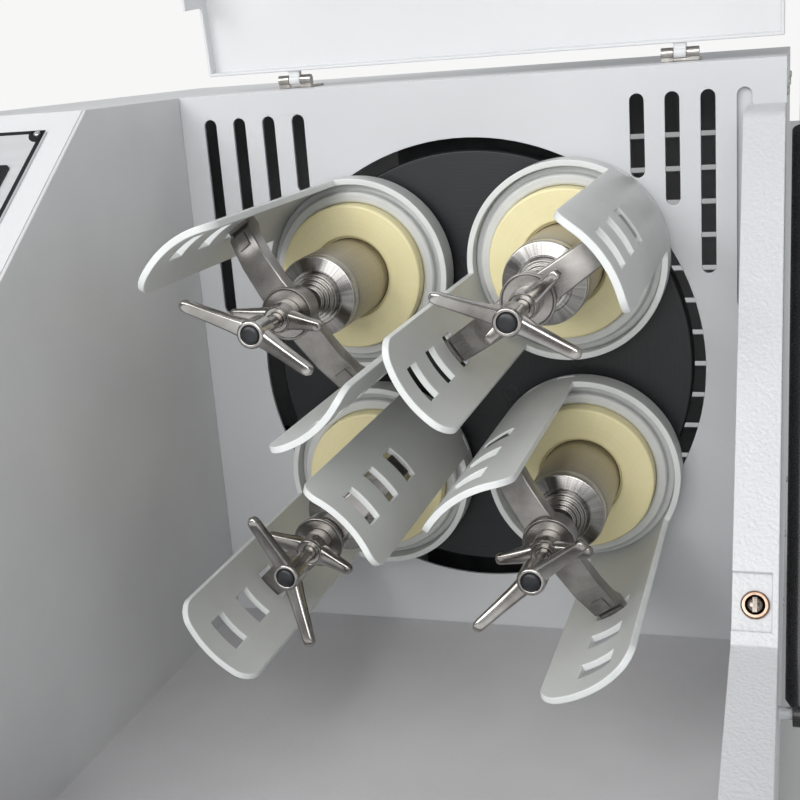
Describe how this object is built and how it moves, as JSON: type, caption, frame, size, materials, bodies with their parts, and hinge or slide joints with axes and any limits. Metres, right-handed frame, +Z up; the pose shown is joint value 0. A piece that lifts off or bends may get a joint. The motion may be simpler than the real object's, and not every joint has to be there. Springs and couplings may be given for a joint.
{
  "type": "horizontal planetary ball mill",
  "caption": "Bench planetary ball mill with a wheel on a horizontal axis that turns clamped grinding jars in slotted cages, under a hinged lid.",
  "frame": {"origin": "on the bench under the middle of the machine, lid standing open", "axes": "+Z up, the open front faces -Y, the console is on the -X side; the wheel turns about a line along Y"},
  "size_m": [0.68, 0.8, 1.0496],
  "materials": {
    "cabinet": "pale grey-white powder coat with a fine orange-peel texture",
    "panel": "pale grey satin powder coat on sheet",
    "base": "mid grey powder coat",
    "rubber": "black moulded rubber",
    "control_plate": "white lacquered plate with a black border",
    "green_button": "green moulded plastic",
    "red_button": "red moulded plastic",
    "black_plastic": "black moulded plastic",
    "wheel": "near-black satin coat on a turned steel disc",
    "cage": "pale warm grey coat with whiter cut edges",
    "adapter": "cream engineering plastic, turned",
    "stainless": "turned stainless steel",
    "cast_stainless": "bead-blasted stainless casting with polished edges",
    "steel": "machined steel",
    "cast_iron": "machined cast iron",
    "motor": "blue-grey painted casting",
    "chrome": "hard chrome plate"
  },
  "bodies": {
    "cabinet": {"feet": "rubber", "base_pan": "base", "chamber": "cabinet", "back_panel": "panel", "console_shell": "cabinet", "control_plate": "control_plate", "rear_cover": "cabinet", "power_inlet": "black_plastic", "main_bearing": "cast_iron", "motor": "motor", "drive_belt": "rubber", "lid_fittings": "steel"},
    "wheel": {"wheel_disc": "wheel", "wheel_shaft": "steel", "planet_belts": "rubber"},
    "motor_rotor": {"motor_pulley": "steel"},
    "lid": {"lid": "cabinet"},
    "strut_tube": {"strut_cylinder": "steel"},
    "strut_piston": {"strut_rod": "chrome"},
    "lock_plunger": {"lock_plunger": "steel"},
    "start_button": {"start_button": "green_button"},
    "stop_button": {"stop_button": "red_button"},
    "emergency_stop": {"emergency_stop": "red_button"},
    "power_rocker": {"power_switch": "black_plastic"},
    "planet_1": {"planet_1_seat": "cage", "planet_1_cage": "cage", "planet_1_adapter": "adapter", "planet_1_jar": "stainless", "planet_1_jar_lid": "stainless", "planet_1_bar": "cast_stainless"},
    "planet_1_pad": {"planet_1_pad": "stainless"},
    "planet_1_screw": {"planet_1_screw": "cast_stainless"},
    "planet_1_nut": {"planet_1_nut": "cast_stainless"},
    "planet_2": {"planet_2_seat": "cage", "planet_2_cage": "cage", "planet_2_adapter": "adapter", "planet_2_jar": "stainless", "planet_2_jar_lid": "stainless", "planet_2_bar": "cast_stainless"},
    "planet_2_pad": {"planet_2_pad": "stainless"},
    "planet_2_screw": {"planet_2_screw": "cast_stainless"},
    "planet_2_nut": {"planet_2_nut": "cast_stainless"},
    "planet_3": {"planet_3_seat": "cage", "planet_3_cage": "cage", "planet_3_adapter": "adapter", "planet_3_jar": "stainless", "planet_3_jar_lid": "stainless", "planet_3_bar": "cast_stainless"},
    "planet_3_pad": {"planet_3_pad": "stainless"},
    "planet_3_screw": {"planet_3_screw": "cast_stainless"},
    "planet_3_nut": {"planet_3_nut": "cast_stainless"},
    "planet_4": {"planet_4_seat": "cage", "planet_4_cage": "cage", "planet_4_adapter": "adapter", "planet_4_jar": "stainless", "planet_4_jar_lid": "stainless", "planet_4_bar": "cast_stainless"},
    "planet_4_pad": {"planet_4_pad": "stainless"},
    "planet_4_screw": {"planet_4_screw": "cast_stainless"},
    "planet_4_nut": {"planet_4_nut": "cast_stainless"}
  },
  "joints": [
    {"name": "wheel_spin", "type": "hinge", "parent": "cabinet", "child": "wheel", "pos_m": [0.066, 0.1, 0.315], "axis": [0, 1, 0], "continuous": true},
    {"name": "motor_spin", "type": "hinge", "parent": "cabinet", "child": "motor_rotor", "pos_m": [0.066, 0.23, 0.13], "axis": [0, 1, 0], "continuous": true},
    {"name": "planet_1_spin", "type": "hinge", "parent": "wheel", "child": "planet_1", "pos_m": [0.15077, 0, 0.40686], "axis": [0, 1, 0], "continuous": true},
    {"name": "clamp_1_lift", "type": "slide", "parent": "planet_1", "child": "planet_1_pad", "axis": [0, -1, 0], "range_m": [0, 0.004]},
    {"name": "clamp_1_screw", "type": "hinge", "parent": "planet_1_pad", "child": "planet_1_screw", "pos_m": [0.15077, -0.2, 0.40686], "axis": [0, -1, 0], "range_deg": [0, 720]},
    {"name": "clamp_1_nut", "type": "hinge", "parent": "planet_1", "child": "planet_1_nut", "pos_m": [0.15077, -0.155, 0.40686], "axis": [0, -1, 0], "range_deg": [0, 180]},
    {"name": "planet_2_spin", "type": "hinge", "parent": "wheel", "child": "planet_2", "pos_m": [-0.02586, 0, 0.39977], "axis": [0, 1, 0], "continuous": true},
    {"name": "clamp_2_lift", "type": "slide", "parent": "planet_2", "child": "planet_2_pad", "axis": [0, -1, 0], "range_m": [0, 0.004]},
    {"name": "clamp_2_screw", "type": "hinge", "parent": "planet_2_pad", "child": "planet_2_screw", "pos_m": [-0.02586, -0.2, 0.39977], "axis": [0, -1, 0], "range_deg": [0, 720]},
    {"name": "clamp_2_nut", "type": "hinge", "parent": "planet_2", "child": "planet_2_nut", "pos_m": [-0.02586, -0.155, 0.39977], "axis": [0, -1, 0], "range_deg": [0, 180]},
    {"name": "planet_3_spin", "type": "hinge", "parent": "wheel", "child": "planet_3", "pos_m": [-0.01877, 0, 0.22314], "axis": [0, 1, 0], "continuous": true},
    {"name": "clamp_3_lift", "type": "slide", "parent": "planet_3", "child": "planet_3_pad", "axis": [0, -1, 0], "range_m": [0, 0.004]},
    {"name": "clamp_3_screw", "type": "hinge", "parent": "planet_3_pad", "child": "planet_3_screw", "pos_m": [-0.01877, -0.2, 0.22314], "axis": [0, -1, 0], "range_deg": [0, 720]},
    {"name": "clamp_3_nut", "type": "hinge", "parent": "planet_3", "child": "planet_3_nut", "pos_m": [-0.01877, -0.155, 0.22314], "axis": [0, -1, 0], "range_deg": [0, 180]},
    {"name": "planet_4_spin", "type": "hinge", "parent": "wheel", "child": "planet_4", "pos_m": [0.15786, 0, 0.23023], "axis": [0, 1, 0], "continuous": true},
    {"name": "clamp_4_lift", "type": "slide", "parent": "planet_4", "child": "planet_4_pad", "axis": [0, -1, 0], "range_m": [0, 0.004]},
    {"name": "clamp_4_screw", "type": "hinge", "parent": "planet_4_pad", "child": "planet_4_screw", "pos_m": [0.15786, -0.2, 0.23023], "axis": [0, -1, 0], "range_deg": [0, 720]},
    {"name": "clamp_4_nut", "type": "hinge", "parent": "planet_4", "child": "planet_4_nut", "pos_m": [0.15786, -0.155, 0.23023], "axis": [0, -1, 0], "range_deg": [0, 180]},
    {"name": "lid_hinge", "type": "hinge", "parent": "cabinet", "child": "lid", "pos_m": [0.066, 0.094, 0.558], "axis": [1, 0, 0], "range_deg": [0, 85]},
    {"name": "strut_turn", "type": "hinge", "parent": "cabinet", "child": "strut_tube", "pos_m": [0.329, -0.24, 0.165], "axis": [1, 0, 0], "range_deg": [-3, 3]},
    {"name": "strut_slide", "type": "slide", "parent": "strut_tube", "child": "strut_piston", "axis": [0, 0.539, 0.8423], "range_m": [-0.125, 0.005]},
    {"name": "start_press", "type": "slide", "parent": "cabinet", "child": "start_button", "axis": [0, 0.6, -0.8], "range_m": [0, 0.003], "stiffness_N_per_m": 300, "springref_m": -0.003},
    {"name": "stop_press", "type": "slide", "parent": "cabinet", "child": "stop_button", "axis": [0, 0.6, -0.8], "range_m": [0, 0.003], "stiffness_N_per_m": 300, "springref_m": -0.003},
    {"name": "emergency_press", "type": "slide", "parent": "cabinet", "child": "emergency_stop", "axis": [0, 0.6, -0.8], "range_m": [0, 0.005], "stiffness_N_per_m": 600, "springref_m": -0.004},
    {"name": "power_rock", "type": "hinge", "parent": "cabinet", "child": "power_rocker", "pos_m": [-0.222, 0.392, 0.12], "axis": [1, 0, 0], "range_deg": [0, 16]},
    {"name": "lock_press", "type": "slide", "parent": "cabinet", "child": "lock_plunger", "axis": [0, 0.8434, -0.5372], "range_m": [0, 0.003], "stiffness_N_per_m": 300, "springref_m": -0.003}
  ],
  "couplings": [
    {"joint": "motor_spin", "follows": "wheel_spin", "ratio": 2.6562},
    {"joint": "planet_1_spin", "follows": "wheel_spin", "ratio": -2},
    {"joint": "clamp_1_lift", "follows": "clamp_1_screw", "m_per_rad": 0.0003183},
    {"joint": "planet_2_spin", "follows": "wheel_spin", "ratio": -2},
    {"joint": "clamp_2_lift", "follows": "clamp_2_screw", "m_per_rad": 0.0003183},
    {"joint": "planet_3_spin", "follows": "wheel_spin", "ratio": -2},
    {"joint": "clamp_3_lift", "follows": "clamp_3_screw", "m_per_rad": 0.0003183},
    {"joint": "planet_4_spin", "follows": "wheel_spin", "ratio": -2},
    {"joint": "clamp_4_lift", "follows": "clamp_4_screw", "m_per_rad": 0.0003183},
    {"joint": "strut_turn", "follows": "lid_hinge", "ratio": -0.016811},
    {"joint": "strut_slide", "follows": "lid_hinge", "m_per_rad": -0.078873}
  ]
}
